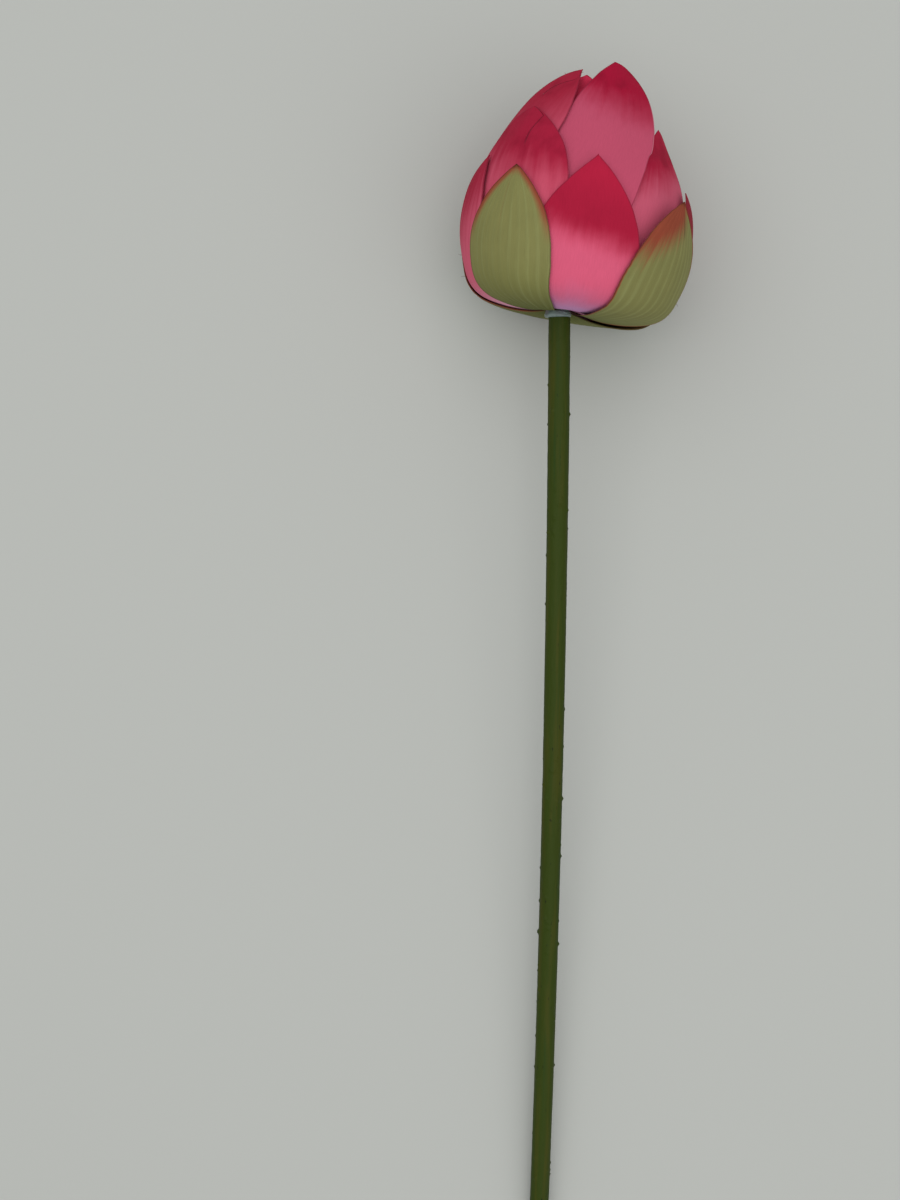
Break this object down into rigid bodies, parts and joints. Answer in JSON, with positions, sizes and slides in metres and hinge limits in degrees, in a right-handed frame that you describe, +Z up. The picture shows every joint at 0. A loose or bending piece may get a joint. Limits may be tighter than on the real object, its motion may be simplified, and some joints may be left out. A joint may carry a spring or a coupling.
{
  "type": "lotus flower",
  "caption": "Closed pink lotus bud of dyed stiffened cloth petals with green sepals, on a green coated wire stem, lying on its back.",
  "frame": {"origin": "middle of the underside of the flower's box, on the surface that it lies on", "axes": "+Y along the length toward the bud's tip, +Z up from the surface, +X to the right of the bud as seen from above with the tip pointing away"},
  "size_m": [0.087, 0.4654, 0.0863],
  "materials": {
    "petal": "matt dyed cloth, crimson tip to pink base",
    "sepal": "matt dyed cloth, ribbed, green with a red-brown tip",
    "foam": "rigid foam, dyed crimson, matt",
    "glue": "clear hot glue",
    "stem": "satin moulded plastic with fine prickles",
    "wire": "cut wire"
  },
  "bodies": {
    "root": {"sepal_front_left": "sepal", "sepal_front_right": "sepal", "sepal_back_right": "sepal", "sepal_back_left": "sepal", "outer_petal_front": "petal", "outer_petal_left": "petal", "outer_petal_right": "petal", "outer_petal_back": "petal", "middle_petal_front_left": "petal", "middle_petal_back_left": "petal", "middle_petal_back_right": "petal", "middle_petal_front_right": "petal", "inner_petal_front": "petal", "inner_petal_left": "petal", "inner_petal_middle": "petal", "inner_petal_right": "petal", "inner_petal_back": "petal", "bud_core": "foam", "glue_collar": "glue", "stem_sleeve": "stem", "stem_wire": "wire"}
  },
  "joints": []
}
